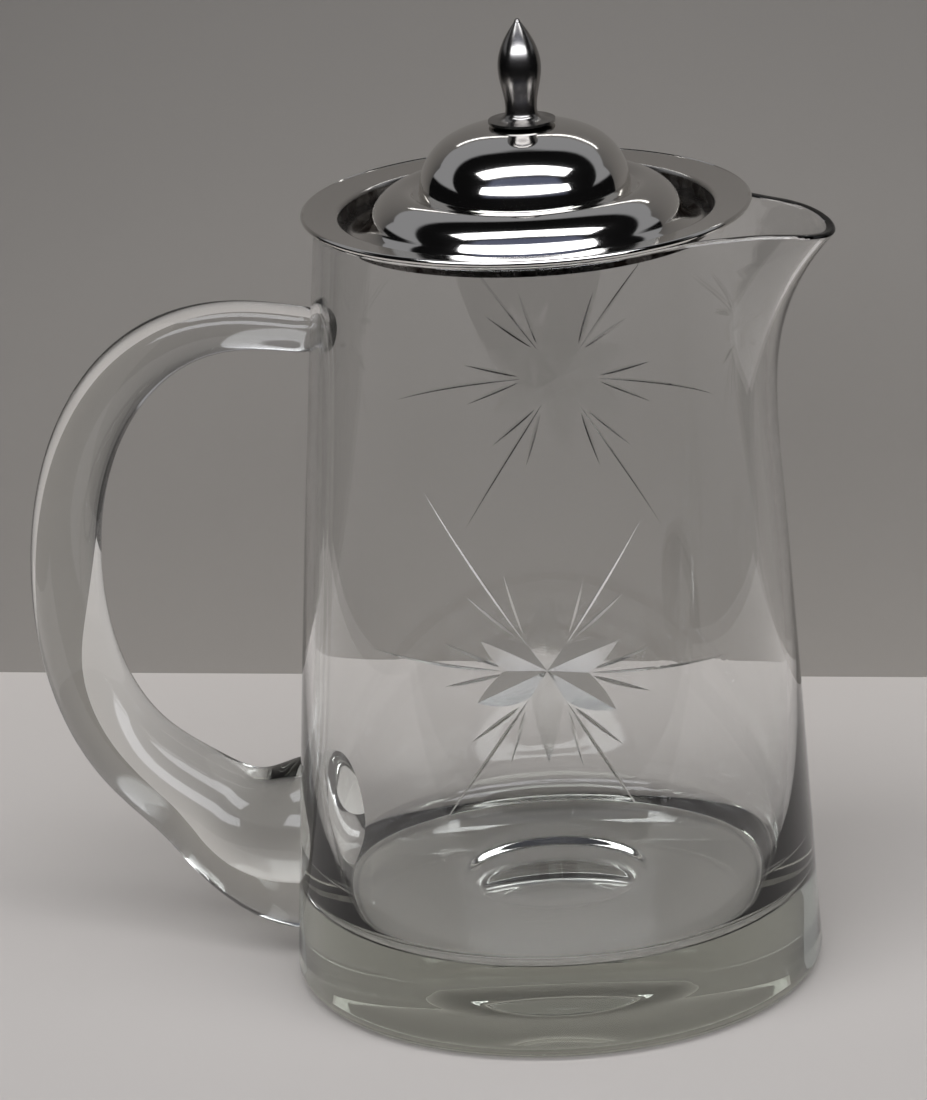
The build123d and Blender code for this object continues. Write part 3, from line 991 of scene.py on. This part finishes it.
class PITCHER_OT_lid(bpy.types.Operator):
    """Builds the spun lid"""

    bl_idname = "pitcher.lid"
    bl_label = "Spun Lid"

    def execute(self, context):
        scene = context.scene
        finishes = scene.pitcher_finishes
        columns = 256
        profile, _crown, tarnish = lid_profile(scene.pitcher_jug, scene.pitcher_lid)
        piece = make_mesh("spun_lid", *revolve(profile, columns))
        mark_tarnish_and_shade(piece, np.repeat(tarnish, columns))
        crease(piece, 28)
        piece.data.materials.append(silver_finish(finishes.silver, finishes.tarnish))
        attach(piece, "lid")
        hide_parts("lid_shell")
        return {"FINISHED"}


class PITCHER_OT_finial(bpy.types.Operator):
    """Builds the turned finial"""

    bl_idname = "pitcher.finial"
    bl_label = "Finial"

    def execute(self, context):
        scene = context.scene
        _profile, crown, _tarnish = lid_profile(scene.pitcher_jug, scene.pitcher_lid)
        piece = make_mesh("turned_finial", *revolve(finial_profile(crown), 128))
        # Painted shade: the whole finial is darkened and dulled through the same marks as the lid's tarnish.
        mark_tarnish_and_shade(piece, np.full(len(piece.data.vertices), scene.pitcher_finishes.finial_painted_shade))
        crease(piece, 28)
        piece.data.materials.append(bpy.data.materials["silver_plate"])
        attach(piece, "lid")
        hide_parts("finial")
        return {"FINISHED"}


class PITCHER_OT_fixings(bpy.types.Operator):
    """Gives the washer and nut under the crown their finish"""

    bl_idname = "pitcher.fixings"
    bl_label = "Fixings"

    def execute(self, context):
        finish = fixing_finish(context.scene.pitcher_finishes.fixing)
        for name in ("finial_washer", "finial_nut"):
            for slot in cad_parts[name].material_slots:
                slot.material = finish
        return {"FINISHED"}


# The studio


def window(value, low, high, soft):
    """One where a shader value lies between two limits, falling to zero over a soft edge."""
    rise = (value - low) / soft
    return rise.math("MINIMUM", (high - value) / soft).math("MAXIMUM", 0.0).math("MINIMUM", 1.0)


def tinted(tint, amount):
    """A colour made lighter or darker by a factor."""
    return [v * amount for v in tint]


def table_finish(tint, foot):
    """The table's matt paint with a faint unevenness, paler under the foot, where the thick glass
    gathers light that the renderer's paths seldom find."""
    finish = Finish("table_paint")
    place = finish.place()
    shade = finish.mix(finish.noise(place, 6.0, 3.0), tinted(tint, 0.97), tinted(tint, 1.03))
    under = window(finish.radius(place), -foot, foot - 3 * MM, 2 * MM)
    return finish.principled(Base_Color=finish.mix(under, shade, tinted(tint, 1.55)), Roughness=0.6)


def wall_finish(tint):
    """The wall's paint with painted light, brightest low down in the middle: across the view at x
    and up at z its tint is multiplied by (1 + 0.4 x - 8 x squared) (1.13 - 2 z), in metres. It can't be seen
    from behind."""
    finish = Finish("wall_paint")
    x, _y, z = finish.turned(finish.place())
    # Painted light: the tint falls off to the sides and upwards.
    level = (1.0 + x * 0.4 - x * x * 8.0).math("MAXIMUM", 0.1) * (1.13 - z * 2.0).math("MAXIMUM", 0.6)
    painted_light_peak = 1.3
    shade = finish.mix(level / painted_light_peak, (0, 0, 0), tinted(tint, painted_light_peak))
    paint = finish.node("ShaderNodeBsdfPrincipled", None, Base_Color=shade, Roughness=0.8)
    behind = finish.node("ShaderNodeNewGeometry", out=6)
    clear = finish.node("ShaderNodeBsdfTransparent")
    return finish.surface(finish.node("ShaderNodeMixShader", None, behind, paint, clear))


def glow_finish(name, strength):
    """An evenly glowing surface."""
    finish = Finish(name)
    return finish.surface(finish.node("ShaderNodeEmission", None, Strength=strength))


def room_light(studio):
    """The dim room round the table, lit by two long lamp panels and a pale ceiling over the wall.

    A direction (x, y, z), with y away from the camera, meets the upper panel's and the ceiling's
    plane at (x / z, y / z) and the lower panel's plane at (x / -y, z / -y), where the panel's ends
    rise with the square of x / -y. A faint bluish glow fills the space between the two panels.
    """
    finish = Finish("room", "World")
    x, y, z = finish.turned(finish.node("ShaderNodeTexCoord"))
    height = z.math("MAXIMUM", 0.001)
    across, away = x / height, y / height
    upper = window(across, -0.92, 0.92, 0.06) * window(away, -0.60, -0.18, 0.04)
    front = (0.0 - y).math("MAXIMUM", 0.001)
    side, rise = x / front, z / front
    lower = window(side, -1.35, 1.35, 0.08) * window(rise - side * side * 0.10, 0.36, 0.80, 0.05)
    ceiling = window(away + across * across * 0.06, 0.45, 20, 0.1) * window(across, -5, 5, 1)
    glow = window(side, -1.2, 1.2, 0.3) * window(rise, 0.2, 1.6, 0.3) * studio.glow
    light = (upper + lower) * studio.strips + ceiling * studio.ceiling + studio.sky
    shade = finish.node("ShaderNodeCombineColor", None, light * 0.97 + glow * 0.8,
                        light * 0.985 + glow * 0.9, light * 1.03 + glow * 1.4)
    return finish.surface(finish.node("ShaderNodeBackground", None, shade))


def camera_frame(x, y, z=0.0):
    """A point given across, away and up from the camera's side, in the CAD frame."""
    c, s = np.cos(VIEW_TURN), np.sin(VIEW_TURN)
    return Vector((c * x - s * y, s * x + c * y, z))


def sheet(name, corners, finish):
    """A flat four-cornered stage piece."""
    piece = make_mesh(name, np.array(corners), [np.array([[0, 1, 2, 3]])], smooth=False)
    piece.data.materials.append(finish)


def add_camera(scene):
    """The photograph's camera: its place, its angles and how far its picture reaches."""
    camera = bpy.data.objects.new("camera", bpy.data.cameras.new("camera"))
    scene.collection.objects.link(camera)
    camera.data.sensor_width = CAMERA_FILM
    camera.data.sensor_fit = "AUTO"
    camera.data.lens = CAMERA_FILM * CAMERA_REACH
    camera.data.clip_start = 0.05
    c, s = np.cos(VIEW_TURN), np.sin(VIEW_TURN)
    turn = np.array([[c, -s, 0], [s, c, 0], [0, 0, 1]])
    ahead = np.array([np.sin(CAMERA_YAW) * np.cos(CAMERA_PITCH), np.cos(CAMERA_YAW) * np.cos(CAMERA_PITCH),
                      -np.sin(CAMERA_PITCH)])
    right = np.array([np.cos(CAMERA_YAW), -np.sin(CAMERA_YAW), 0])
    above = np.cross(right, ahead)
    across = np.cos(CAMERA_ROLL) * right + np.sin(CAMERA_ROLL) * above
    upward = -np.sin(CAMERA_ROLL) * right + np.cos(CAMERA_ROLL) * above
    pose = np.eye(4)
    pose[:3, :3] = turn @ np.stack([across, upward, -ahead], 1)
    pose[:3, 3] = turn @ CAMERA_PLACE
    camera.matrix_world = Matrix(pose.tolist())
    scene.camera = camera


class PITCHER_OT_stage(bpy.types.Operator):
    """Builds the table, backdrop, lights and camera"""

    bl_idname = "pitcher.stage"
    bl_label = "Studio"

    def execute(self, context):
        scene = context.scene
        studio = scene.pitcher_studio

        def on_wall(x, z, clear=0.0):
            return camera_frame(x, studio.backdrop_distance + studio.backdrop_slant * x - clear, z)

        def on_wall_box(left, right, low, high, clear=0.0):
            corners = ((left, low), (right, low), (right, high), (left, high))
            return [on_wall(x, z, clear) for x, z in corners]

        side, near = studio.table_side, -studio.table_front
        sheet("table", [camera_frame(-side, near, UNDER_FOOT), camera_frame(side, near, UNDER_FOOT),
                        on_wall(side, UNDER_FOOT), on_wall(-side, UNDER_FOOT)],
              table_finish(studio.table, scene.pitcher_jug.foot_radius))
        sheet("backdrop", on_wall_box(studio.backdrop_left, studio.backdrop_right, UNDER_FOOT,
                                      studio.backdrop_height), wall_finish(studio.backdrop))
        low = studio.glint_height
        sheet("glint", on_wall_box(studio.glint_left, studio.glint_right, low, low + studio.glint_width,
                                   2 * MM), glow_finish("glint_glow", studio.glint))
        scene.world = room_light(studio)
        add_camera(scene)
        scene.view_settings.view_transform = "Standard"
        return {"FINISHED"}


class PITCHER_PT_panel(bpy.types.Panel):
    """Lists the pieces and their sizes"""

    bl_label = "Cream Pitcher"
    bl_space_type = "VIEW_3D"
    bl_region_type = "UI"
    bl_category = "Pitcher"

    def draw(self, context):
        column = self.layout.column()
        for operator in OPERATORS:
            column.operator(operator.bl_idname)
        for name, group in GROUPS.items():
            column.label(text=group.__doc__)
            for key in group.__annotations__:
                column.prop(getattr(context.scene, name), key, text=key.replace("_", " ").capitalize())


GROUPS = {
    "pitcher_jug": JugSizes,
    "pitcher_cuts": StarCuts,
    "pitcher_handle": HandleSizes,
    "pitcher_lid": LidSizes,
    "pitcher_finishes": Finishes,
    "pitcher_studio": StudioSettings,
}
OPERATORS = (PITCHER_OT_glass, PITCHER_OT_lid, PITCHER_OT_finial, PITCHER_OT_fixings, PITCHER_OT_stage)


def register():
    """Registers the property groups, operators and panel."""
    for group in GROUPS.values():
        bpy.utils.register_class(group)
    for name, group in GROUPS.items():
        setattr(bpy.types.Scene, name, PointerProperty(type=group))
    for item in OPERATORS + (PITCHER_PT_panel,):
        bpy.utils.register_class(item)


def unregister():
    """Removes what register added."""
    for item in (PITCHER_PT_panel,) + OPERATORS[::-1]:
        bpy.utils.unregister_class(item)
    for name, group in reversed(list(GROUPS.items())):
        delattr(bpy.types.Scene, name)
        bpy.utils.unregister_class(group)


def main():
    """Registers the add-on and builds every piece."""
    register()
    bpy.ops.pitcher.glass()
    bpy.ops.pitcher.lid()
    bpy.ops.pitcher.finial()
    bpy.ops.pitcher.fixings()
    bpy.ops.pitcher.stage()


if __name__ == "__main__":
    main()
